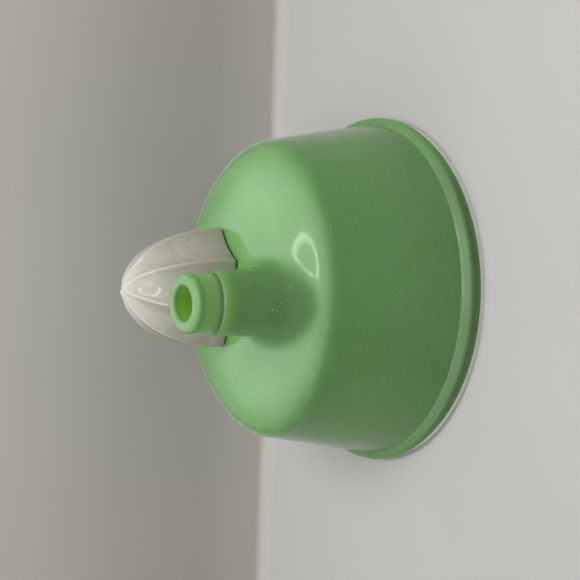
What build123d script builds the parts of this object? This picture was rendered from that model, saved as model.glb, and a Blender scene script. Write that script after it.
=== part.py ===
"""Juicer attachment of a stand mixer: a pressed green glass juicer bowl with a drain spout, standing
upside down on its rim, and a ribbed porcelain reamer on the drive spindle above the bowl's flat end.

Frame: millimetres, +Z up. The origin is the centre of the ring that the rim rests on.
The bowl's axis is +Z, and the spout stands on the -Y side.
"""

import os
from math import cos, pi, radians, sin, sqrt

from build123d import *

# Bowl
RIM_RADIUS = 97.0
RIM_BEAD = 10.0  # height of the bead round the rim, up to the wall's foot
BEAD_RADIUS = 3.3  # of the bead's nose
BEAD_START = 58.0  # the nose starts this many degrees below its widest point
BEAD_END = 55.0  # and ends this many above, where the bead's slope takes over
BEAD_NOSE_Z = 5.1  # height of the widest point
BEAD_VALLEY = 1.0  # fillet between the bead's slope and the wall
REST_INNER = 90.5  # the flat ring that the bowl rests on
REST_OUTER = 94.4
WALL_FOOT_RADIUS = 92.5  # the wall leans in from the bead to the shoulder
WALL_TOP_RADIUS = 79.1
WALL_TOP_Z = 68.8
BOWL_HEIGHT = 94.6
FLAT_RADIUS = 32.0  # the flat end
WALL = 5.6
FLOOR = 7.0
WALL_PULL = 12.1  # how far the shoulder's curve runs on along the wall
FLAT_PULL = 18.8  # and along the flat end
INNER_PULL = 0.86  # the inner curve's pulls are this share of the outer ones
LIP_START = 6.0  # below this height the inner wall turns out into the rest ring

# Neck: the hollow post inside the bowl that the drive spindle passes through
BORE_RADIUS = 6.35
NECK_TIP_Z = 59.0
NECK_TIP_RADIUS = 11.5
NECK_ROOT_RADIUS = 15.0
NECK_ROOT_FILLET = 5.0
NECK_TIP_FILLET = 1.8

# Spout: an upright tube that rises from the shoulder
SPOUT_Y = -57.0
MOUTH_Z = 132.9  # the mouth's plane meets the spout's axis here
MOUTH_TILT = 10.0  # the plane falls outwards by this many degrees
LIP_FILLET = 2.5  # round the mouth's outer edge
MOUTH_FILLET = 1.5  # and round its inner one
COLLAR_RADIUS = 13.2  # the narrower collar below the lip
STEP_Z = 118.0  # where the collar meets the tube
STEP_RISE = 0.9
STEP_FILLET = 0.45
TUBE_RADIUS = 14.2
SPOUT_ROOT_Z = 72.0  # buried in the wall
SPOUT_ROOT_RADIUS = 17.0
SPOUT_FILLET = 12.0  # the glass sweeps up into the spout
MOUTH_RADIUS = 7.4
DRAIN_RADIUS = 9.4  # the spout's bore where it opens into the bowl
DRAIN_FILLET = 1.5

# Drive spindle, thrust washer and cross pin
SHAFT_RADIUS = 4.75
SHAFT_CHAMFER = 0.8
DRIVE_RADIUS = 4.4  # the thinner lower end, which the mixer drives
DRIVE_BOTTOM_Z = 26.0
DRIVE_TOP_Z = 56.0
TANG_LENGTH = 13.0  # two flats on the drive end
TANG_THICKNESS = 5.0
FLANGE_RADIUS = 10.5
FLANGE_THICKNESS = 2.4
FLANGE_FILLET = 0.5
WASHER_RADIUS = 11.5
WASHER_THICKNESS = 1.6
WASHER_BORE_CLEARANCE = 0.05
WASHER_FILLET = 0.3
PIN_RADIUS = 1.5
PIN_LENGTH = 19.0
PIN_CHAMFER = 0.3
PIN_RISE = 3.2  # centre of the cross pin above the flange

# Reamer
REAMER_RADIUS = 32.6  # over the ribs
REAMER_HEIGHT = 48.5
REAMER_GAP = 0.4  # the skirt clears the glass by this much
RIBS = 8
RIB_ANGLE = 31.2  # the first rib, turned from the spout's side towards +X
RIB_FILLET = 1.3
FLUTE_DEPTH = 3.7  # halfway between two ribs at the base, in from the circle over the ribs
ROUNDNESS = 2.2  # the ribs' outline lies between an ellipse and a cone
POINTEDNESS = 0.58
SECTION_SHARES = (0.0, 0.22, 0.42, 0.6, 0.75, 0.87, 0.95, 0.985)  # of the height
TIP_RADIUS = 3.9  # the rounded tip above the last section
SKIRT_WALL = 4.2
SKIRT_FILLET = 0.8
CROWN = 6.5  # thickness of the shell at the tip
HUB_RADIUS = 10.5
HUB_CLEARANCE = 0.1  # between the hub and the spindle's flange
SOCKET_CLEARANCE = 0.08
SOCKET_DEPTH = 23.0
SHAFT_END_GAP = 1.0
SLOT_CLEARANCE = 0.35

BEAD_CENTRE = (RIM_RADIUS - BEAD_RADIUS, BEAD_NOSE_Z)
INSIDE_Z = BOWL_HEIGHT - FLOOR
SPOUT_BLANK_Z = MOUTH_Z + COLLAR_RADIUS  # the spout's height before the mouth is cut
BORE_TAPER = (DRAIN_RADIUS - MOUTH_RADIUS) / (MOUTH_Z - INSIDE_Z)
BLANK_BORE_RADIUS = MOUTH_RADIUS - BORE_TAPER * (SPOUT_BLANK_Z - MOUTH_Z)
MOUTH_PLANE = Plane(
    (0, SPOUT_Y, MOUTH_Z),
    z_dir=(0, -sin(radians(MOUTH_TILT)), cos(radians(MOUTH_TILT))),
)
FLANGE_Z = BOWL_HEIGHT + WASHER_THICKNESS
HUB_Z = FLANGE_Z + FLANGE_THICKNESS + HUB_CLEARANCE
PIN_Z = FLANGE_Z + FLANGE_THICKNESS + PIN_RISE
SHAFT_TOP_Z = HUB_Z + SOCKET_DEPTH - SHAFT_END_GAP
REAMER_Z = BOWL_HEIGHT + REAMER_GAP
TIP_Z = REAMER_Z + REAMER_HEIGHT
TIP_RISE = (1 - SECTION_SHARES[-1]) * REAMER_HEIGHT
HOLLOW_RADIUS = REAMER_RADIUS - FLUTE_DEPTH - SKIRT_WALL
SPOUT_AXIS = Axis((0, SPOUT_Y, 0), (0, 0, 1))
BOTTOM = (Align.CENTER, Align.CENTER, Align.MIN)
TOL = 0.05  # for picking edges by their height


def wall_point(above, inset=0.0):
    """A point (radius, z) on the wall's slope, above the wall's top end and inset from its outside."""
    rise_r = WALL_TOP_RADIUS - WALL_FOOT_RADIUS
    rise_z = WALL_TOP_Z - RIM_BEAD
    length = sqrt(rise_r**2 + rise_z**2)
    unit_r = rise_r / length
    unit_z = rise_z / length
    return (
        WALL_TOP_RADIUS + above * unit_r - inset * unit_z,
        WALL_TOP_Z + above * unit_z + inset * unit_r,
    )


def circles_at(part, z_low, z_high):
    """The part's circular edges between two heights."""
    circles = part.edges().filter_by(GeomType.CIRCLE)
    return circles.filter_by_position(Axis.Z, z_low - TOL, z_high + TOL)


def rib_radius(share):
    """Radius over the ribs at a share of the reamer's height."""
    return REAMER_RADIUS * (1 - share**ROUNDNESS) ** POINTEDNESS


def rib_point(radius, turn):
    """A point on a circle about the reamer's axis, turn ribs round from the first rib."""
    angle = radians(RIB_ANGLE - 90) + turn * 2 * pi / RIBS
    return (radius * cos(angle), radius * sin(angle))


with BuildPart() as juicer_bowl:
    # Outer form of the bowl, solid for now
    with BuildSketch(Plane.XZ) as outer_form:
        with BuildLine():
            Line((0, 0), (REST_OUTER, 0))
            bead = CenterArc(BEAD_CENTRE, BEAD_RADIUS, -BEAD_START, BEAD_START + BEAD_END)
            Line((REST_OUTER, 0), bead @ 0)
            Line(bead @ 1, (WALL_FOOT_RADIUS, RIM_BEAD))
            Line((WALL_FOOT_RADIUS, RIM_BEAD), wall_point(0))
            Bezier(
                wall_point(0),
                wall_point(WALL_PULL),
                (FLAT_RADIUS + FLAT_PULL, BOWL_HEIGHT),
                (FLAT_RADIUS, BOWL_HEIGHT),
            )
            Line((FLAT_RADIUS, BOWL_HEIGHT), (0, BOWL_HEIGHT))
            Line((0, BOWL_HEIGHT), (0, 0))
        make_face()
    revolve(axis=Axis.Z)

    # Outer form of the spout: tube, step and collar, cut off by the mouth's tilted plane
    with BuildSketch(Plane.XZ.offset(-SPOUT_Y)) as spout_form:
        with BuildLine():
            Line((0, SPOUT_ROOT_Z), (SPOUT_ROOT_RADIUS, SPOUT_ROOT_Z))
            Line((SPOUT_ROOT_RADIUS, SPOUT_ROOT_Z), (TUBE_RADIUS, STEP_Z))
            Line((TUBE_RADIUS, STEP_Z), (COLLAR_RADIUS, STEP_Z + STEP_RISE))
            Line((COLLAR_RADIUS, STEP_Z + STEP_RISE), (COLLAR_RADIUS, SPOUT_BLANK_Z))
            Line((COLLAR_RADIUS, SPOUT_BLANK_Z), (0, SPOUT_BLANK_Z))
            Line((0, SPOUT_BLANK_Z), (0, SPOUT_ROOT_Z))
        make_face()
    revolve(axis=SPOUT_AXIS)
    split(bisect_by=MOUTH_PLANE, keep=Keep.BOTTOM)
    spout_seam = juicer_bowl.edges().filter_by(GeomType.BSPLINE).sort_by(SortBy.LENGTH)[-1]
    fillet(spout_seam, SPOUT_FILLET)
    fillet(circles_at(juicer_bowl, STEP_Z, STEP_Z + STEP_RISE), STEP_FILLET)
    fillet(circles_at(juicer_bowl, RIM_BEAD, RIM_BEAD).sort_by(SortBy.LENGTH)[0], BEAD_VALLEY)

    # Cavity, with the rim's inside turned out into the rest ring
    with BuildSketch(Plane.XZ) as cavity_form:
        with BuildLine():
            lip_start = wall_point(LIP_START - WALL_TOP_Z, WALL)
            up_the_wall = (WALL_TOP_RADIUS - WALL_FOOT_RADIUS, WALL_TOP_Z - RIM_BEAD)
            Line((0, 0), (REST_INNER, 0))
            Spline((REST_INNER, 0), lip_start, tangents=[(-1, 0), up_the_wall])
            Line(lip_start, wall_point(0, WALL))
            Bezier(
                wall_point(0, WALL),
                wall_point(INNER_PULL * WALL_PULL, WALL),
                (FLAT_RADIUS + INNER_PULL * FLAT_PULL, INSIDE_Z),
                (FLAT_RADIUS, INSIDE_Z),
            )
            Line((FLAT_RADIUS, INSIDE_Z), (0, INSIDE_Z))
            Line((0, INSIDE_Z), (0, 0))
        make_face()
    revolve(axis=Axis.Z, mode=Mode.SUBTRACT)

    # Neck and its bore
    with BuildSketch(Plane.XZ) as neck_form:
        with BuildLine():
            Polyline(
                (0, NECK_TIP_Z),
                (NECK_TIP_RADIUS, NECK_TIP_Z),
                (NECK_ROOT_RADIUS, INSIDE_Z),
                (0, INSIDE_Z),
                close=True,
            )
        make_face()
    revolve(axis=Axis.Z)
    fillet(circles_at(juicer_bowl, INSIDE_Z, INSIDE_Z).sort_by(SortBy.LENGTH)[0], NECK_ROOT_FILLET)
    fillet(circles_at(juicer_bowl, NECK_TIP_Z, NECK_TIP_Z), NECK_TIP_FILLET)
    with Locations((0, 0, NECK_TIP_Z)):
        Cylinder(BORE_RADIUS, BOWL_HEIGHT - NECK_TIP_Z, align=BOTTOM, mode=Mode.SUBTRACT)

    # Bore of the spout, with a rounded lip at the mouth
    with BuildSketch(Plane.XZ.offset(-SPOUT_Y)) as spout_bore:
        with BuildLine():
            Line((0, NECK_TIP_Z), (DRAIN_RADIUS, NECK_TIP_Z))
            Line((DRAIN_RADIUS, NECK_TIP_Z), (DRAIN_RADIUS, INSIDE_Z))
            Line((DRAIN_RADIUS, INSIDE_Z), (BLANK_BORE_RADIUS, SPOUT_BLANK_Z))
            Line((BLANK_BORE_RADIUS, SPOUT_BLANK_Z), (0, SPOUT_BLANK_Z))
            Line((0, SPOUT_BLANK_Z), (0, NECK_TIP_Z))
        make_face()
    revolve(axis=SPOUT_AXIS, mode=Mode.SUBTRACT)
    rims = juicer_bowl.edges().filter_by(GeomType.BSPLINE).filter_by(lambda edge: edge.is_closed)
    fillet(rims.sort_by(SortBy.LENGTH)[0], DRAIN_FILLET)
    lip = juicer_bowl.faces().filter_by(MOUTH_PLANE)[0]
    fillet(lip.edges().sort_by(SortBy.LENGTH)[-1], LIP_FILLET)
    lip = juicer_bowl.faces().filter_by(MOUTH_PLANE)[0]
    fillet(lip.edges().sort_by(SortBy.LENGTH)[0], MOUTH_FILLET)
juicer_bowl.part.label = "juicer_bowl"


with BuildPart() as thrust_washer:
    with Locations((0, 0, BOWL_HEIGHT)):
        Cylinder(WASHER_RADIUS, WASHER_THICKNESS, align=BOTTOM)
        Cylinder(
            SHAFT_RADIUS + WASHER_BORE_CLEARANCE,
            WASHER_THICKNESS,
            align=BOTTOM,
            mode=Mode.SUBTRACT,
        )
    fillet(thrust_washer.edges().filter_by(GeomType.CIRCLE).sort_by(SortBy.LENGTH)[-2:], WASHER_FILLET)
thrust_washer.part.label = "thrust_washer"


with BuildPart() as drive_spindle:
    # Round shaft with its thinner drive end
    with Locations((0, 0, DRIVE_TOP_Z)):
        Cylinder(SHAFT_RADIUS, SHAFT_TOP_Z - DRIVE_TOP_Z, align=BOTTOM)
    chamfer(drive_spindle.edges().filter_by(GeomType.CIRCLE).sort_by(Axis.Z)[-1], SHAFT_CHAMFER)
    with Locations((0, 0, DRIVE_BOTTOM_Z)):
        Cylinder(DRIVE_RADIUS, DRIVE_TOP_Z - DRIVE_BOTTOM_Z, align=BOTTOM)
    chamfer(drive_spindle.edges().filter_by(GeomType.CIRCLE).sort_by(Axis.Z)[0], SHAFT_CHAMFER)

    # Two flats for the drive
    with Locations((0, 0, DRIVE_BOTTOM_Z)):
        with Locations((0, TANG_THICKNESS, 0), (0, -TANG_THICKNESS, 0)):
            Box(
                2 * SHAFT_RADIUS,
                TANG_THICKNESS,
                TANG_LENGTH,
                align=BOTTOM,
                mode=Mode.SUBTRACT,
            )

    # Flange that turns on the washer and carries the reamer
    with Locations((0, 0, FLANGE_Z)):
        Cylinder(FLANGE_RADIUS, FLANGE_THICKNESS, align=BOTTOM)
    flange_rims = drive_spindle.edges().filter_by(GeomType.CIRCLE).sort_by(SortBy.LENGTH)[-2:]
    fillet(flange_rims, FLANGE_FILLET)

    # Cross hole for the pin
    with Locations(Location((0, 0, PIN_Z), (0, 90, 0))):
        Cylinder(PIN_RADIUS, PIN_LENGTH, mode=Mode.SUBTRACT)
drive_spindle.part.label = "drive_spindle"


with BuildPart() as drive_pin:
    with Locations(Location((0, 0, PIN_Z), (0, 90, 0))):
        Cylinder(PIN_RADIUS, PIN_LENGTH)
    chamfer(drive_pin.edges().filter_by(GeomType.CIRCLE), PIN_CHAMFER)
drive_pin.part.label = "drive_pin"


with BuildPart() as reamer:
    # Outer form: fluted sections, drawn together towards the tip
    for share in SECTION_SHARES:
        with BuildSketch(Plane.XY.offset(REAMER_Z + share * REAMER_HEIGHT)):
            radius = rib_radius(share)
            flute_radius = radius * (1 - FLUTE_DEPTH / REAMER_RADIUS)
            with BuildLine():
                for rib in range(RIBS):
                    ThreePointArc(
                        rib_point(radius, rib),
                        rib_point(flute_radius, rib + 0.5),
                        rib_point(radius, rib + 1),
                    )
            make_face()
    loft()

    fillet(reamer.edges().filter_by(GeomType.BSPLINE), RIB_FILLET)

    # Rounded tip
    with BuildSketch(Plane.XZ) as tip_form:
        with BuildLine():
            Line((0, TIP_Z - TIP_RISE), (TIP_RADIUS, TIP_Z - TIP_RISE))
            EllipticalCenterArc(
                (0, TIP_Z - TIP_RISE),
                TIP_RADIUS,
                TIP_RISE,
                start_angle=0,
                arc_size=90,
            )
            Line((0, TIP_Z), (0, TIP_Z - TIP_RISE))
        make_face()
    revolve(axis=Axis.Z)

    # Hollow under the skirt
    with BuildSketch(Plane.XZ) as hollow_form:
        with BuildLine():
            Line((0, REAMER_Z), (HOLLOW_RADIUS, REAMER_Z))
            EllipticalCenterArc(
                (0, REAMER_Z),
                HOLLOW_RADIUS,
                REAMER_HEIGHT - CROWN,
                start_angle=0,
                arc_size=90,
            )
            Line((0, TIP_Z - CROWN), (0, REAMER_Z))
        make_face()
    revolve(axis=Axis.Z, mode=Mode.SUBTRACT)
    fillet(reamer.faces().sort_by(Axis.Z)[0].edges(), SKIRT_FILLET)

    # Hub with the socket for the spindle and the slot for the cross pin
    with Locations((0, 0, HUB_Z)):
        Cylinder(HUB_RADIUS, TIP_Z - CROWN - HUB_Z, align=BOTTOM)
        Cylinder(
            SHAFT_RADIUS + SOCKET_CLEARANCE,
            SOCKET_DEPTH,
            align=BOTTOM,
            mode=Mode.SUBTRACT,
        )
        Box(
            2 * HUB_RADIUS + 1,
            2 * (PIN_RADIUS + SLOT_CLEARANCE),
            PIN_Z - HUB_Z,
            align=BOTTOM,
            mode=Mode.SUBTRACT,
        )
    with Locations(Location((0, 0, PIN_Z), (0, 90, 0))):
        Cylinder(PIN_RADIUS + SLOT_CLEARANCE, 2 * HUB_RADIUS + 1, mode=Mode.SUBTRACT)
reamer.part.label = "reamer"


os.makedirs("parts", exist_ok=True)
export_step(juicer_bowl.part, "parts/juicer_bowl.step")
export_step(thrust_washer.part, "parts/thrust_washer.step")
export_step(drive_spindle.part, "parts/drive_spindle.step")
export_step(drive_pin.part, "parts/drive_pin.step")
export_step(reamer.part, "parts/reamer.step")
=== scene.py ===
"""Looks of a stand mixer's juicer attachment: a green milk-glass juicer bowl, upside down on its rim, with
a ribbed porcelain reamer on its flat end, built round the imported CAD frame. Lengths are in metres."""

import math

import bpy
import numpy as np
from mathutils import Matrix, Vector


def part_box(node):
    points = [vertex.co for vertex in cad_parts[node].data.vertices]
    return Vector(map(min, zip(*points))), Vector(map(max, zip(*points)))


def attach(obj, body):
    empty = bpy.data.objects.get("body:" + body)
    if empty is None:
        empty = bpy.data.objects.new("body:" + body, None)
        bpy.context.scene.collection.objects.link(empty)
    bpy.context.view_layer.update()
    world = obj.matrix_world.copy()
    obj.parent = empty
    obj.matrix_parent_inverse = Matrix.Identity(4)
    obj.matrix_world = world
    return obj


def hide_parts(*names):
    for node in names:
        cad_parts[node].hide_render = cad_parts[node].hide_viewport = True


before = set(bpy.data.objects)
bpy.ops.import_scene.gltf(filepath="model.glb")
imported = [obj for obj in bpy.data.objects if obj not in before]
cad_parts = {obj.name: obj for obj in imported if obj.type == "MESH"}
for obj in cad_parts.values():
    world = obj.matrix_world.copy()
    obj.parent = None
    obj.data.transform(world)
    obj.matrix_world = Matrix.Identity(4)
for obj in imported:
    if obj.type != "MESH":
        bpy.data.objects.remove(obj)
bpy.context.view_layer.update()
scene = bpy.context.scene
scene.view_settings.view_transform = "Standard"
MM = 0.001

# ---------------------------------------------------------------- camera
CAMERA_PLACE = (0.0385, -0.3381, 0.2325)
CAMERA_TURN = math.radians(6.64)  # from +Y towards -X
CAMERA_PITCH = math.radians(28.17)  # downwards
CAMERA_LENS = 43.45
CAMERA_SENSOR = 36.0


def make_camera():
    """The camera lies on its side, as the photograph was taken: up in the room is left in the picture."""
    forward = Vector((
        -math.sin(CAMERA_TURN) * math.cos(CAMERA_PITCH),
        math.cos(CAMERA_TURN) * math.cos(CAMERA_PITCH),
        -math.sin(CAMERA_PITCH),
    ))
    right = Vector((math.cos(CAMERA_TURN), math.sin(CAMERA_TURN), 0.0))
    up = right.cross(forward)
    data = bpy.data.cameras.new("camera")
    data.lens = CAMERA_LENS
    data.sensor_width = CAMERA_SENSOR
    data.clip_start = 0.01
    camera = bpy.data.objects.new("camera", data)
    rotation = Matrix((-up, right, -forward)).transposed()
    camera.matrix_world = Matrix.Translation(CAMERA_PLACE) @ rotation.to_4x4()
    scene.collection.objects.link(camera)
    scene.camera = camera


make_camera()


# ---------------------------------------------------------------- node helpers
def new_material(name):
    material = bpy.data.materials.new(name)
    material.use_nodes = True
    tree = material.node_tree
    tree.nodes.clear()
    out = tree.nodes.new("ShaderNodeOutputMaterial")
    return material, tree, out


def add(tree, kind, inputs=None, **settings):
    """A node with its settings and its inputs, each a value or another node's socket."""
    node = tree.nodes.new(kind)
    for key, value in settings.items():
        setattr(node, key, value)
    for key, value in (inputs or {}).items():
        if isinstance(value, bpy.types.NodeSocket):
            tree.links.new(value, node.inputs[key])
        else:
            node.inputs[key].default_value = value
    return node


def noise(tree, coords, scale, detail=2.0, roughness=0.5, distortion=0.0):
    """Noise over coordinates in metres; scale is in cycles per metre. The socket is its value."""
    node = add(tree, "ShaderNodeTexNoise", {
        "Vector": coords,
        "Scale": scale,
        "Detail": detail,
        "Roughness": roughness,
        "Distortion": distortion,
    })
    return node.outputs["Fac"]


def ramp(tree, value, low, high, to_low=0.0, to_high=1.0):
    """Maps low..high to to_low..to_high, smoothly and clamped."""
    node = add(tree, "ShaderNodeMapRange", {
        "Value": value,
        "From Min": low,
        "From Max": high,
        "To Min": to_low,
        "To Max": to_high,
    }, interpolation_type="SMOOTHSTEP")
    return node.outputs["Result"]


def mix_color(tree, factor, first, second):
    node = add(tree, "ShaderNodeMix", data_type="RGBA")
    for index, value in ((0, factor), (6, first), (7, second)):
        if isinstance(value, bpy.types.NodeSocket):
            tree.links.new(value, node.inputs[index])
        else:
            node.inputs[index].default_value = value
    return node.outputs[2]


def math_node(tree, operation, *values):
    node = add(tree, "ShaderNodeMath", operation=operation)
    for index, value in enumerate(values):
        if isinstance(value, bpy.types.NodeSocket):
            tree.links.new(value, node.inputs[index])
        else:
            node.inputs[index].default_value = value
    return node.outputs[0]


def bump(tree, height, distance, strength=1.0, normal=None):
    inputs = {"Height": height, "Distance": distance, "Strength": strength}
    if normal is not None:
        inputs["Normal"] = normal
    return add(tree, "ShaderNodeBump", inputs).outputs["Normal"]


def vector_math(tree, operation, *values):
    return add(tree, "ShaderNodeVectorMath", dict(enumerate(values)), operation=operation)


def spots(tree, coords, places, radius):
    """1 inside small soft spots at the given places, 0 elsewhere; each has a share of the radius."""
    total = None
    for place, share in places:
        distance = vector_math(tree, "DISTANCE", coords, place).outputs["Value"]
        spot = ramp(tree, distance, radius * share * 0.5, radius * share, 1.0, 0.0)
        total = spot if total is None else math_node(tree, "MAXIMUM", total, spot)
    return total


# ---------------------------------------------------------------- stage
FLOOR_SIZE = 3.0
FLOOR_COLOR = (0.388, 0.385, 0.380, 1)
WALL_COLOR = (0.460, 0.446, 0.415, 1)
WALL_BEHIND = 0.1175
WALL_TURN = math.radians(2.3)
WALL_HEIGHT = 2.0
FOLD_RADIUS = 0.009
FOLD_STEPS = 12
FOLD_LIFT = 0.0001  # of its foot above the floor
BACKDROP_PAINTED_SHADE = 0.15  # how much painted shade darkens the backdrop just above the fold
PAPER_CLOUD = 0.03  # and how much the paper's broad and fine patches darken it
PAPER_SPECKLE = 0.05


def paper(name, color_low, color_high, roughness):
    """Matt paper, in one colour at the floor and another above the fold, with painted shade on the backdrop
    just above the fold.
    """
    material, tree, out = new_material(name)
    coords = add(tree, "ShaderNodeTexCoord").outputs["Object"]
    height = add(tree, "ShaderNodeSeparateXYZ", {0: coords}).outputs["Z"]
    grain = noise(tree, coords, 900.0, 3.0, 0.6)
    cloud = noise(tree, coords, 6.0, 2.0)
    above_fold = ramp(tree, height, 0.0003, 0.5 * FOLD_RADIUS)
    color = mix_color(tree, above_fold, color_low, color_high)
    # painted shade: the backdrop is painted darker just above the fold, less so higher up
    painted_shade = ramp(tree, height, 0.07, 0.20, BACKDROP_PAINTED_SHADE, 0.0)
    painted_shade = math_node(tree, "MULTIPLY", painted_shade, ramp(tree, height, 0.01, 0.06))
    speckle = noise(tree, coords, 1400.0, 2.0, 0.6)
    shade_and_patches = math_node(tree, "ADD", ramp(tree, cloud, 0.3, 0.7, 0.0, PAPER_CLOUD), painted_shade)
    shade_and_patches = math_node(tree, "ADD", shade_and_patches, ramp(tree, speckle, 0.3, 0.7, 0.0, PAPER_SPECKLE))
    color = mix_color(tree, shade_and_patches, color, (0.0, 0.0, 0.0, 1))
    bsdf = add(tree, "ShaderNodeBsdfPrincipled", {
        "Base Color": color,
        "Roughness": roughness,
        "Specular IOR Level": 0.1,
        "Normal": bump(tree, grain, 0.0001, 0.5),
    })
    return material, tree, bsdf, out


def mesh_object(name, vertices, faces):
    mesh = bpy.data.meshes.new(name)
    mesh.from_pydata(vertices, [], faces)
    item = bpy.data.objects.new(name, mesh)
    scene.collection.objects.link(item)
    return item


def make_floor():
    h = FLOOR_SIZE
    floor = mesh_object("floor", [(-h, -h, 0), (h, -h, 0), (h, h, 0), (-h, h, 0)], [(0, 1, 2, 3)])
    material, tree, bsdf, out = paper("floor_paper", FLOOR_COLOR, FLOOR_COLOR, 0.85)
    tree.links.new(bsdf.outputs[0], out.inputs["Surface"])
    floor.data.materials.append(material)


def make_wall():
    """A backdrop with a curved foot, seen from the front only, so that the view from behind is free."""
    profile = []
    for step in range(FOLD_STEPS + 1):
        turn = math.pi / 2 * step / FOLD_STEPS
        profile.append((FOLD_RADIUS * (math.sin(turn) - 1), FOLD_LIFT + FOLD_RADIUS * (1 - math.cos(turn))))
    profile.append((0.0, WALL_HEIGHT))
    vertices = [(x, y, z) for y, z in profile for x in (-FLOOR_SIZE, FLOOR_SIZE)]
    faces = [(2 * i, 2 * i + 1, 2 * i + 3, 2 * i + 2) for i in range(len(profile) - 1)]
    wall = mesh_object("wall", vertices, faces)
    wall.data.shade_smooth()
    wall.matrix_world = Matrix.Rotation(WALL_TURN, 4, "Z") @ Matrix.Translation((0, WALL_BEHIND, 0))
    material, tree, bsdf, out = paper("wall_paper", FLOOR_COLOR, WALL_COLOR, 0.95)
    clear = add(tree, "ShaderNodeBsdfTransparent").outputs[0]
    behind = add(tree, "ShaderNodeNewGeometry").outputs["Backfacing"]
    mix = add(tree, "ShaderNodeMixShader", {0: behind, 1: bsdf.outputs[0], 2: clear})
    tree.links.new(mix.outputs[0], out.inputs["Surface"])
    wall.data.materials.append(material)
    wall.visible_glossy = False


def turn_to(item, place, target):
    """Puts a lamp at a place, facing a target."""
    item.location = place
    item.rotation_mode = "QUATERNION"
    item.rotation_quaternion = (Vector(target) - Vector(place)).to_track_quat("-Z", "Y")


def area_light(name, place, target, size, energy, color):
    data = bpy.data.lights.new(name, "AREA")
    data.shape = "RECTANGLE"
    data.size, data.size_y = size
    data.energy = energy
    data.color = color
    light = bpy.data.objects.new(name, data)
    turn_to(light, place, target)
    scene.collection.objects.link(light)
    return light


RING_PLACE = (0.145, -0.215, 0.575)
RING_TARGET = (0.02, -0.06, 0.09)
RING_OUTER = 0.175
RING_INNER = 0.134
RING_STEPS = 96
RING_COLOR = (1.0, 0.98, 0.95, 1)
RING_GLOW = 8.0


def glowing_ring(name, inner, outer, height, color, strength):
    """A flat ring that shines up and down and that the camera doesn't see."""
    vertices = []
    for step in range(RING_STEPS):
        angle = 2 * math.pi * step / RING_STEPS
        for radius in (inner, outer):
            vertices.append((radius * math.cos(angle), radius * math.sin(angle), height))
    faces = []
    for step in range(RING_STEPS):
        a = 2 * step
        b = 2 * ((step + 1) % RING_STEPS)
        faces.append((a, b, b + 1, a + 1))
    ring = mesh_object(name, vertices, faces)
    material, tree, out = new_material(name + "_light")
    glow = add(tree, "ShaderNodeEmission", {"Color": color, "Strength": strength})
    tree.links.new(glow.outputs[0], out.inputs["Surface"])
    ring.data.materials.append(material)
    ring.visible_camera = False
    return ring


def ring_light():
    """A ring-shaped lamp, which shows as small rings in the glass and the glaze."""
    lamp = glowing_ring("ring_lamp", RING_INNER, RING_OUTER, 0, RING_COLOR, RING_GLOW)
    turn_to(lamp, RING_PLACE, RING_TARGET)


RIM_GLOW_INNER = 0.0947
RIM_GLOW_OUTER = 0.0958
RIM_GLOW_HEIGHT = 0.0005
RIM_GLOW_COLOR = (0.86, 1.0, 0.76, 1)
RIM_GLOW = 1.4


def rim_glow():
    """The pale green light that the translucent rim lets through to the floor under its overhang."""
    glow = glowing_ring(
        "rim_glow", RIM_GLOW_INNER, RIM_GLOW_OUTER, RIM_GLOW_HEIGHT, RIM_GLOW_COLOR, RIM_GLOW)
    glow.visible_glossy = False
    glow.visible_shadow = False


LAMPS = (
    # name, place, size, energy
    ("right", (0.411, -0.2375, 0.873), (0.35, 0.35), 5.2),
    ("front", (-0.2375, -0.411, 0.873), (0.35, 0.35), 1.9),
    ("above", (0.10, 0.03, 0.95), (0.5, 0.2), 5.5),
    ("left", (-0.752, -0.2, 0.595), (0.35, 0.35), 1.5),
    ("upper_left", (-0.459, -0.123, 0.873), (0.35, 0.35), 0.8),
)
LAMP_TARGET = (0.0, 0.0, 0.05)
LAMP_COLOR = (1.0, 0.995, 0.98)
ROOM_COLOR = (0.93, 0.95, 1.0, 1)
ROOM_GLOW = 0.05  # as a light of its own
BACKGROUND_GLOW = 0.28  # behind the stage
HORIZON_GLOW = 0.32  # in the gloss, from the horizon to the ceiling
CEILING_GLOW = 2.3
HORIZON_RISE = 0.15
CEILING_RISE = 0.85


def make_world():
    """A pale room: bright overhead in the gloss of the object, and dim as a light of its own."""
    world = bpy.data.worlds.new("world")
    world.use_nodes = True
    tree = world.node_tree
    tree.nodes.clear()
    out = tree.nodes.new("ShaderNodeOutputWorld")
    direction = add(tree, "ShaderNodeTexCoord").outputs["Generated"]
    rise = add(tree, "ShaderNodeSeparateXYZ", {0: direction}).outputs["Z"]
    sky = ramp(tree, rise, HORIZON_RISE, CEILING_RISE, HORIZON_GLOW, CEILING_GLOW)
    path = add(tree, "ShaderNodeLightPath")
    glow = add(tree, "ShaderNodeMix", {0: path.outputs["Is Glossy Ray"], 2: ROOM_GLOW, 3: sky})
    seen = add(tree, "ShaderNodeMix", {
        0: path.outputs["Is Camera Ray"],
        2: glow.outputs[0],
        3: BACKGROUND_GLOW,
    })
    background = add(tree, "ShaderNodeBackground", {"Color": ROOM_COLOR, "Strength": seen.outputs[0]})
    tree.links.new(background.outputs[0], out.inputs["Surface"])
    scene.world = world


def make_lights():
    make_world()
    for name, place, size, energy in LAMPS:
        lamp = area_light(name, place, LAMP_TARGET, size, energy, LAMP_COLOR)
        lamp.visible_glossy = False
    ring_light()
    rim_glow()


make_floor()
make_wall()
make_lights()


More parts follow.
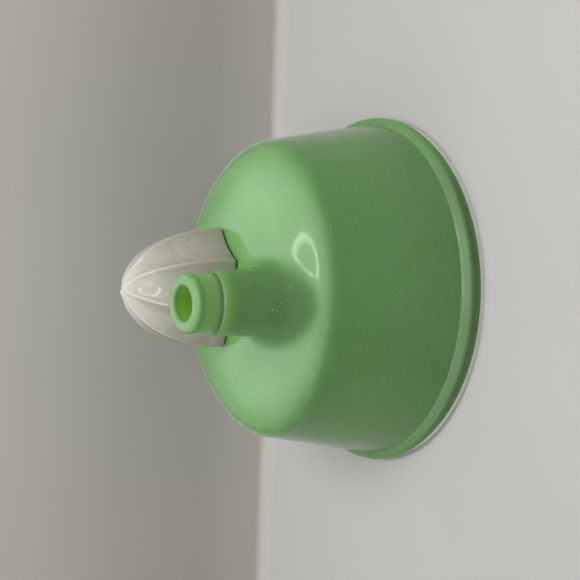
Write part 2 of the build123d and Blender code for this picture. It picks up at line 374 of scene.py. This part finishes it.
# ---------------------------------------------------------------- reamer
RIBS = 8
RIB_ANGLE = math.radians(31.2)  # the first rib, turned from -Y towards +X
RIB_CIRCLE = 32.45 * MM
ROUNDNESS = 2.2  # powers of the outline: how full its shoulder is
POINTEDNESS = 0.58  # and how blunt its tip
FLUTE_SAG = 0.036  # of the radius, below the straight line between two ribs, at the foot
FLUTE_SAG_TOP = 0.085  # and in the upper half
BEAD_HEIGHT = 0.85 * MM  # each rib ends in a raised bead
BEAD_WIDTH = 1.5 * MM
CREST_ROUND = 0.9 * MM
CREST_WIDTH = 1.8 * MM  # of the paler band along each rib's crest
FADE_RADIUS = 9 * MM  # nearer to the axis the beads fade out
FOOT_ROUND = 1.3 * MM
HOLLOW_RADIUS = 24.7 * MM
CROWN = 6.5 * MM
HUB_RADIUS = 10.5 * MM
HUB_RISE = 3.7 * MM  # the hub's end above the skirt's foot
HUB_CHAMFER = 0.5 * MM
SOCKET_RADIUS = 4.83 * MM
SOCKET_DEPTH = 23.0 * MM
SLOT_HALF = 1.85 * MM
SLOT_RISE = 3.1 * MM  # the slot's round end above the hub's end
SLOT_BELOW = 2 * MM
SLOT_STEPS = 16
COLUMNS = 384
OUTER_ROWS = 150
FOOT_ROWS = 8
HOLLOW_ROWS = 24
HUB_ROWS = 12
SOCKET_ROWS = 8
SHARP_ANGLE = math.radians(38)
TIP_SHARE = 0.9985  # the highest ring's share of the height
NUB_PLACE = (-2.8 * MM, 2.5 * MM)
NUB_WIDTH = 1.5 * MM
NUB_HEIGHT = 0.9 * MM


def rib_outline(share):
    """Radius at the ribs' crests, at a share of the height."""
    return RIB_CIRCLE * (1 - share**ROUNDNESS) ** POINTEDNESS


def outer_section(angle, share):
    """Radius of the ribbed surface at each angle, and how much of a crest it is there."""
    radius = rib_outline(share)
    pitch = 2 * math.pi / RIBS
    offset = np.mod(angle - RIB_ANGLE + math.pi / 2 + pitch / 2, pitch) - pitch / 2
    along = np.abs(offset) * radius
    soft = np.sqrt(along**2 + CREST_ROUND**2) - CREST_ROUND
    soft = np.minimum(soft / max(radius, 1e-6), pitch / 2)
    chord = math.cos(pitch / 2) / np.cos(pitch / 2 - soft)
    place = np.tan(pitch / 2 - soft) / math.tan(pitch / 2)
    fade = min(1.0, radius / FADE_RADIUS)
    rise = min(1.0, share / 0.55)
    sag = (FLUTE_SAG + (FLUTE_SAG_TOP - FLUTE_SAG) * rise**2 * (3 - 2 * rise)) * (1 - place**2)
    bead = fade * BEAD_HEIGHT * np.exp(-((along / (BEAD_WIDTH * (0.45 + 0.55 * fade))) ** 2))
    body = (radius - fade * BEAD_HEIGHT) * (chord - sag)
    crest = np.exp(-((along / CREST_WIDTH) ** 2))
    return body + bead, crest


def hand_finish(angle, z):
    """Slight unevenness of a cast and glazed piece."""
    wave = 0.10 * np.sin(3 * angle + 70 * z + 1.3) + 0.07 * np.sin(5 * angle - 130 * z + 0.4)
    wave += 0.05 * np.sin(11 * angle + 210 * z + 2.1) + 0.04 * np.sin(260 * z + 2 * angle)
    return wave * MM


def lathe(name, rows, marks):
    """A closed skin from rings of points; the first and last rings close to a point."""
    columns = len(rows[0][0])
    points = [np.column_stack((x, y, z)) for x, y, z in rows]
    vertices = np.vstack([points[0].mean(axis=0)[None]] + points + [points[-1].mean(axis=0)[None]])
    faces = []
    count = len(points)
    last = 1 + count * columns
    for j in range(columns):
        k = (j + 1) % columns
        faces.append((0, 1 + j, 1 + k))
        for i in range(count - 1):
            a = 1 + i * columns
            b = a + columns
            faces.append((a + j, b + j, b + k, a + k))
        end = 1 + (count - 1) * columns
        faces.append((end + k, end + j, last))
    item = mesh_object(name, vertices.tolist(), faces)
    values = np.concatenate([[marks[0].mean()]] + list(marks) + [[0.0]])
    attribute = item.data.attributes.new("crest", "FLOAT", "POINT")
    attribute.data.foreach_set("value", values.astype(np.float32))
    item.data.update()
    return item


def cut(item, cutter):
    """Cuts one closed piece out of another and drops the cutter."""
    modifier = item.modifiers.new("cut", "BOOLEAN")
    modifier.operation = "DIFFERENCE"
    modifier.solver = "EXACT"
    modifier.object = cutter
    graph = bpy.context.evaluated_depsgraph_get()
    mesh = bpy.data.meshes.new_from_object(item.evaluated_get(graph))
    item.modifiers.clear()
    item.data = mesh
    bpy.data.objects.remove(cutter)


def slot_cutter(hub_end):
    """A bar across the hub with a round upper side, from below the hub's end."""
    outline = [(-SLOT_HALF, -SLOT_BELOW)]
    for step in range(SLOT_STEPS + 1):
        turn = math.pi * step / SLOT_STEPS
        outline.append((-SLOT_HALF * math.cos(turn), SLOT_RISE + SLOT_HALF * math.sin(turn)))
    outline.append((SLOT_HALF, -SLOT_BELOW))
    reach = HUB_RADIUS + 1 * MM
    vertices = [(x, y, hub_end + z) for x in (-reach, reach) for y, z in outline]
    count = len(outline)
    faces = [tuple(range(count)), tuple(range(2 * count - 1, count - 1, -1))]
    for a in range(count):
        b = (a + 1) % count
        faces.append((b, a, a + count, b + count))
    return mesh_object("slot", vertices, faces)


def make_reamer():
    """The reamer as a stack of rings: down its outside, round its foot, and up its hollow, hub and socket."""
    low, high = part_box("reamer")
    base = low.z
    height = high.z - base
    angle = np.linspace(0, 2 * math.pi, COLUMNS, endpoint=False)
    rows, marks = [], []

    def ring(radius, z, mark=None):
        radius = radius + 0 * angle
        z = z + 0 * angle
        rows.append((radius * np.cos(angle), radius * np.sin(angle), z))
        marks.append(0 * angle if mark is None else mark)

    # outer surface, from the tip down
    foot_share = FOOT_ROUND / height
    for step in range(OUTER_ROWS):
        t = step / (OUTER_ROWS - 1)
        share = foot_share + (TIP_SHARE - foot_share) * math.sin(math.pi / 2 * (1 - t)) ** 0.9
        radius, crest = outer_section(angle, share)
        z = base + share * height
        radius = radius + hand_finish(angle, z) * min(1.0, rib_outline(share) / (10 * MM))
        x, y = radius * np.cos(angle), radius * np.sin(angle)
        away = (x - NUB_PLACE[0]) ** 2 + (y - NUB_PLACE[1]) ** 2
        ring(radius, z + NUB_HEIGHT * np.exp(-away / NUB_WIDTH**2), crest)
    # rounded foot
    for step in range(1, FOOT_ROWS + 1):
        turn = math.pi / 2 * step / FOOT_ROWS
        share = foot_share * (1 - math.sin(turn))
        radius, crest = outer_section(angle, share)
        inset = FOOT_ROUND * (1 - math.cos(turn))
        ring(radius + hand_finish(angle, base) - inset, base + share * height, crest)
    # under the skirt: foot, hollow, hub, socket
    ring(HOLLOW_RADIUS + 0.6 * MM, base)
    hollow_height = height - CROWN
    hub_share = HUB_RADIUS / HOLLOW_RADIUS
    hub_top = base + hollow_height * math.sqrt(1 - hub_share**2)
    for step in range(HOLLOW_ROWS + 1):
        turn = math.acos(hub_share) * step / HOLLOW_ROWS
        ring(HOLLOW_RADIUS * math.cos(turn), max(base + 0.5 * MM, base + hollow_height * math.sin(turn)))
    hub_end = base + HUB_RISE
    for step in range(1, HUB_ROWS + 1):
        ring(HUB_RADIUS, hub_top + (hub_end + HUB_CHAMFER - hub_top) * step / HUB_ROWS)
    ring(HUB_RADIUS - HUB_CHAMFER, hub_end)
    ring(SOCKET_RADIUS + HUB_CHAMFER, hub_end)
    ring(SOCKET_RADIUS, hub_end + HUB_CHAMFER)
    for step in range(1, SOCKET_ROWS + 1):
        ring(SOCKET_RADIUS, hub_end + HUB_CHAMFER + (SOCKET_DEPTH - HUB_CHAMFER) * step / SOCKET_ROWS)
    ring(SOCKET_RADIUS * 0.3, hub_end + SOCKET_DEPTH)
    item = lathe("reamer_glazed", rows, marks)
    cut(item, slot_cutter(hub_end))
    item.data.shade_smooth()
    item.data.set_sharp_from_angle(angle=SHARP_ANGLE)
    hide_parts("reamer")
    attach(item, "reamer")
    return item


# ---------------------------------------------------------------- materials
JADE_DEEP = (0.112, 0.274, 0.074, 1)
JADE_PALE = (0.131, 0.304, 0.094, 1)
# the milk colour also paints a pale sheen on the shoulder
JADE_MILK_AND_SHEEN = (0.23, 0.43, 0.20, 1)
# the grain colour also paints shade on the wall towards its foot
JADE_GRAIN_AND_SHADE = (0.065, 0.17, 0.045, 1)
# painted light: a paler yellow-green collar, as if lit through thin glass
JADE_COLLAR_LIGHT = (0.21, 0.43, 0.12, 1)
# painted shade: a dark line over the spout's step, under the collar
JADE_STEP_SHADE = (0.07, 0.17, 0.05, 1)
# painted light: a paler rounded edge at the spout's mouth
JADE_EDGE_LIGHT = (0.150, 0.320, 0.108, 1)
# painted shade: a darker flat top on the spout's lip
JADE_LIP_SHADE = (0.098, 0.210, 0.064, 1)
# painted light: a bright yellow-green bore, as if lit through thin glass
JADE_BORE_LIGHT = (0.28, 0.52, 0.08, 1)
# painted shade: a darker rim, less so at its sides
JADE_RIM_SHADE = (0.072, 0.168, 0.046, 1)
RIM_TOP = (8.8 * MM, 10.4 * MM)
SPOUT_AXIS = (0.0, -0.057, 0.0)
MOUTH_TILT = math.radians(10.0)
MOUTH_NORMAL = (0.0, -math.sin(MOUTH_TILT), math.cos(MOUTH_TILT))
MOUTH_HEIGHT = 0.1329  # of the mouth's middle
MOUTH_LEVEL = -SPOUT_AXIS[1] * math.sin(MOUTH_TILT) + MOUTH_HEIGHT * math.cos(MOUTH_TILT)
GLASS_SPECKS = (
    ((-0.0011, -0.0724, 0.0972), 0.7),
    ((0.0019, -0.0725, 0.0937), 0.5),
    ((0.0091, -0.0701, 0.0880), 0.6),
)
SPECK_COLOR = (0.8, 0.86, 0.76, 1)
SPECK_RADIUS = 0.5 * MM


def spout_tints(tree, coords, color):
    """Painted light and shade at the spout: the collar and bore painted a paler yellow-green, as if lit
    through thin glass, the mouth's rounded edge painted paler, and the step and the lip's flat top painted
    darker, as shade; also the step's mask.
    """
    z = add(tree, "ShaderNodeSeparateXYZ", {0: coords}).outputs["Z"]
    from_axis = vector_math(tree, "SUBTRACT", coords, SPOUT_AXIS).outputs[0]
    from_axis = vector_math(tree, "MULTIPLY", from_axis, (1.0, 1.0, 0.0)).outputs[0]
    radius = vector_math(tree, "LENGTH", from_axis).outputs["Value"]
    near = ramp(tree, radius, 15 * MM, 17 * MM, 1.0, 0.0)
    lean = vector_math(tree, "DOT_PRODUCT", coords, MOUTH_NORMAL).outputs["Value"]
    below = math_node(tree, "SUBTRACT", MOUTH_LEVEL, lean)  # depth under the spout's slanted mouth
    # painted light: the collar painted paler, as if lit through thin glass
    collar_light = math_node(tree, "MULTIPLY", ramp(tree, z, 0.112, 0.1195), ramp(tree, below, 1.5 * MM, 5 * MM))
    color = mix_color(tree, math_node(tree, "MULTIPLY", collar_light, near), color, JADE_COLLAR_LIGHT)
    # painted shade: the step and the collar's foot painted darker
    step = ramp(tree, z, 0.1174, 0.1180)
    step = math_node(tree, "MULTIPLY", step, ramp(tree, z, 0.1195, 0.1215, 1.0, 0.0))
    step = math_node(tree, "MULTIPLY", step, near)
    color = mix_color(tree, math_node(tree, "MULTIPLY", step, 0.7), color, JADE_STEP_SHADE)
    # painted light: the mouth's rounded edge painted paler
    edge_light = math_node(tree, "MULTIPLY", ramp(tree, below, 2 * MM, 4.5 * MM, 1.0, 0.0), near)
    color = mix_color(tree, edge_light, color, JADE_EDGE_LIGHT)
    # painted shade: the lip's flat top painted darker
    lip_shade = ramp(tree, below, 0.2 * MM, 1.4 * MM, 1.0, 0.0)
    color = mix_color(tree, math_node(tree, "MULTIPLY", lip_shade, near), color, JADE_LIP_SHADE)
    # painted light: the bore painted a bright yellow-green, as if lit through thin glass
    bore_light = ramp(tree, radius, 8.6 * MM, 9.6 * MM, 1.0, 0.0)
    bore_light = math_node(tree, "MULTIPLY", bore_light, ramp(tree, below, 1 * MM, 3 * MM))
    bore_light = math_node(tree, "MULTIPLY", bore_light, ramp(tree, z, 0.070, 0.074))
    return mix_color(tree, bore_light, color, JADE_BORE_LIGHT), step


def wall_tints(tree, coords, color):
    """Painted shade and sheen on the wall: the rim painted darker, less so at its sides, the wall painted
    darker towards its foot and a painted pale sheen on the shoulder; also the rim's mask.
    """
    where = add(tree, "ShaderNodeSeparateXYZ", {0: coords})
    z = where.outputs["Z"]
    aside = math_node(tree, "ABSOLUTE", where.outputs["X"])
    # painted shade: the rim painted darker, less so at its sides
    rim = ramp(tree, z, *RIM_TOP, 1.0, 0.0)
    rim_shade = math_node(tree, "MULTIPLY", rim, ramp(tree, aside, 0.050, 0.090, 1.0, 0.25))
    color = mix_color(tree, rim_shade, color, JADE_RIM_SHADE)
    # painted shade: the wall painted darker towards its foot
    foot_shade = math_node(tree, "MULTIPLY", ramp(tree, z, 0.010, 0.048, 0.22, 0.0), ramp(tree, z, *RIM_TOP))
    color = mix_color(tree, foot_shade, color, JADE_GRAIN_AND_SHADE)
    # painted sheen: the shoulder painted paler
    shoulder_sheen = ramp(tree, z, 0.066, 0.078)
    shoulder_sheen = math_node(tree, "MULTIPLY", shoulder_sheen, ramp(tree, z, 0.086, 0.094, 1.0, 0.0))
    return mix_color(tree, math_node(tree, "MULTIPLY", shoulder_sheen, 0.32), color, JADE_MILK_AND_SHEEN), rim


def jade_glass():
    """Opaque pressed milk glass: deep soft green, cloudy inside, glossy with slight waves."""
    material, tree, out = new_material("jade_milk_glass")
    coords = add(tree, "ShaderNodeTexCoord").outputs["Object"]
    cloud = noise(tree, coords, 14.0, 3.0, 0.5, 0.6)
    fine = noise(tree, coords, 260.0, 3.0, 0.6)
    color = mix_color(tree, ramp(tree, cloud, 0.3, 0.7), JADE_DEEP, JADE_PALE)
    color = mix_color(tree, ramp(tree, fine, 0.35, 0.75, 0.0, 0.10), color, JADE_MILK_AND_SHEEN)
    grain = noise(tree, coords, 950.0, 2.0, 0.6)
    color = mix_color(tree, ramp(tree, grain, 0.3, 0.7, 0.0, 0.22), color, JADE_GRAIN_AND_SHADE)
    color, step = spout_tints(tree, coords, color)
    color, rim = wall_tints(tree, coords, color)
    specks = spots(tree, coords, GLASS_SPECKS, SPECK_RADIUS)
    color = mix_color(tree, math_node(tree, "MULTIPLY", specks, 0.85), color, SPECK_COLOR)
    matt = math_node(tree, "MULTIPLY", rim, 0.22)
    matt = math_node(tree, "ADD", matt, math_node(tree, "MULTIPLY", step, 0.30))
    wave = noise(tree, coords, 38.0, 1.0, 0.4, 0.3)
    drag = add(tree, "ShaderNodeMapping", {"Vector": coords, "Scale": (1.0, 1.0, 0.25)}).outputs[0]
    ripple = noise(tree, drag, 170.0, 2.0, 0.5)
    normal = bump(tree, wave, 0.0009, 0.55)
    normal = bump(tree, ripple, 0.00012, 0.5, normal)
    bsdf = add(tree, "ShaderNodeBsdfPrincipled", {
        "Base Color": color,
        "Roughness": math_node(tree, "ADD", ramp(tree, fine, 0.3, 0.8, 0.085, 0.16), matt),
        "IOR": 1.52,
        "Subsurface Weight": 1.0,
        "Subsurface Radius": (0.55, 1.0, 0.22),
        "Subsurface Scale": 0.007,
        "Normal": normal,
    })
    tree.links.new(bsdf.outputs[0], out.inputs["Surface"])
    return material


PORCELAIN_GREY = (0.345, 0.330, 0.275, 1)
PORCELAIN_WARM = (0.400, 0.382, 0.328, 1)
PORCELAIN_BLUSH = (0.395, 0.352, 0.297, 1)
PORCELAIN_CREST = (0.43, 0.41, 0.37, 1)
PORCELAIN_SPECKLE = (0.25, 0.235, 0.19, 1)
IRON_SPECKS = (
    ((0.0251, -0.0100, 0.1141), 1.5),
)
IRON_COLOR = (0.16, 0.11, 0.07, 1)
IRON_RADIUS = 0.55 * MM


def porcelain():
    """Glazed porcelain: warm grey-white, faintly mottled, paler along the ribs' crests."""
    material, tree, out = new_material("white_glazed_porcelain")
    coords = add(tree, "ShaderNodeTexCoord").outputs["Object"]
    mottle = noise(tree, coords, 85.0, 4.0, 0.6, 0.8)
    blush = noise(tree, coords, 30.0, 2.0, 0.5, 0.4)
    color = mix_color(tree, ramp(tree, mottle, 0.38, 0.68), PORCELAIN_GREY, PORCELAIN_WARM)
    color = mix_color(tree, ramp(tree, blush, 0.5, 0.75, 0.0, 0.5), color, PORCELAIN_BLUSH)
    crest = add(tree, "ShaderNodeAttribute", attribute_name="crest").outputs["Fac"]
    color = mix_color(tree, math_node(tree, "MULTIPLY", crest, 0.40), color, PORCELAIN_CREST)
    speckle = noise(tree, coords, 700.0, 2.0, 0.6)
    color = mix_color(tree, ramp(tree, speckle, 0.35, 0.65, 0.0, 0.11), color, PORCELAIN_SPECKLE)
    iron = spots(tree, coords, IRON_SPECKS, IRON_RADIUS)
    color = mix_color(tree, math_node(tree, "MULTIPLY", iron, 0.6), color, IRON_COLOR)
    dimple = noise(tree, coords, 420.0, 2.0, 0.5)
    soft = noise(tree, coords, 70.0, 2.0, 0.5)
    normal = bump(tree, soft, 0.0003, 0.35)
    normal = bump(tree, dimple, 0.00003, 0.6, normal)
    bsdf = add(tree, "ShaderNodeBsdfPrincipled", {
        "Base Color": color,
        "Roughness": ramp(tree, mottle, 0.3, 0.8, 0.06, 0.12),
        "IOR": 1.5,
        "Subsurface Weight": 0.3,
        "Subsurface Radius": (1.0, 0.8, 0.55),
        "Subsurface Scale": 0.0015,
        "Normal": normal,
    })
    tree.links.new(bsdf.outputs[0], out.inputs["Surface"])
    return material


def turned_steel(name, along):
    """Turned steel with fine marks round its axis, which along picks out of X, Y and Z."""
    material, tree, out = new_material(name)
    coords = add(tree, "ShaderNodeTexCoord").outputs["Object"]
    scale = [1.0 if is_axis else 0.02 for is_axis in along]
    stretched = add(tree, "ShaderNodeMapping", {"Vector": coords, "Scale": scale}).outputs[0]
    marks = noise(tree, stretched, 2600.0, 2.0, 0.5)
    tarnish = noise(tree, coords, 45.0, 2.0, 0.5)
    color = mix_color(tree, ramp(tree, tarnish, 0.35, 0.75), (0.60, 0.59, 0.57, 1), (0.53, 0.51, 0.48, 1))
    color = mix_color(tree, ramp(tree, marks, 0.3, 0.8, 0.0, 0.2), color, (0.7, 0.69, 0.67, 1))
    bsdf = add(tree, "ShaderNodeBsdfPrincipled", {
        "Base Color": color,
        "Metallic": 1.0,
        "Roughness": ramp(tree, tarnish, 0.3, 0.8, 0.26, 0.34),
        "Normal": bump(tree, marks, 0.00001, 0.5),
    })
    tree.links.new(bsdf.outputs[0], out.inputs["Surface"])
    return material


WASHER_MARKS = 21000.0  # radians of the turning marks per metre of radius


def washer_nylon():
    """Turned natural nylon, a little stained."""
    material, tree, out = new_material("natural_nylon")
    coords = add(tree, "ShaderNodeTexCoord").outputs["Object"]
    across = vector_math(tree, "MULTIPLY", coords, (1.0, 1.0, 0.0)).outputs[0]
    distance = vector_math(tree, "LENGTH", across).outputs["Value"]
    rings = math_node(tree, "SINE", math_node(tree, "MULTIPLY", distance, WASHER_MARKS))
    stain = noise(tree, coords, 210.0, 3.0, 0.6)
    color = mix_color(tree, ramp(tree, stain, 0.3, 0.75), (0.74, 0.70, 0.58, 1), (0.62, 0.56, 0.42, 1))
    bsdf = add(tree, "ShaderNodeBsdfPrincipled", {
        "Base Color": color,
        "Roughness": ramp(tree, stain, 0.3, 0.8, 0.38, 0.55),
        "IOR": 1.53,
        "Subsurface Weight": 0.4,
        "Subsurface Radius": (1.0, 0.85, 0.6),
        "Subsurface Scale": 0.001,
        "Normal": bump(tree, rings, 0.00002, 0.5),
    })
    tree.links.new(bsdf.outputs[0], out.inputs["Surface"])
    return material


def set_material(node, material):
    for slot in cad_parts[node].material_slots:
        slot.material = material


reamer = make_reamer()
reamer.data.materials.clear()
reamer.data.materials.append(porcelain())
set_material("juicer_bowl", jade_glass())
set_material("drive_spindle", turned_steel("turned_steel", (False, False, True)))
set_material("drive_pin", turned_steel("ground_steel_pin", (True, False, False)))
set_material("thrust_washer", washer_nylon())
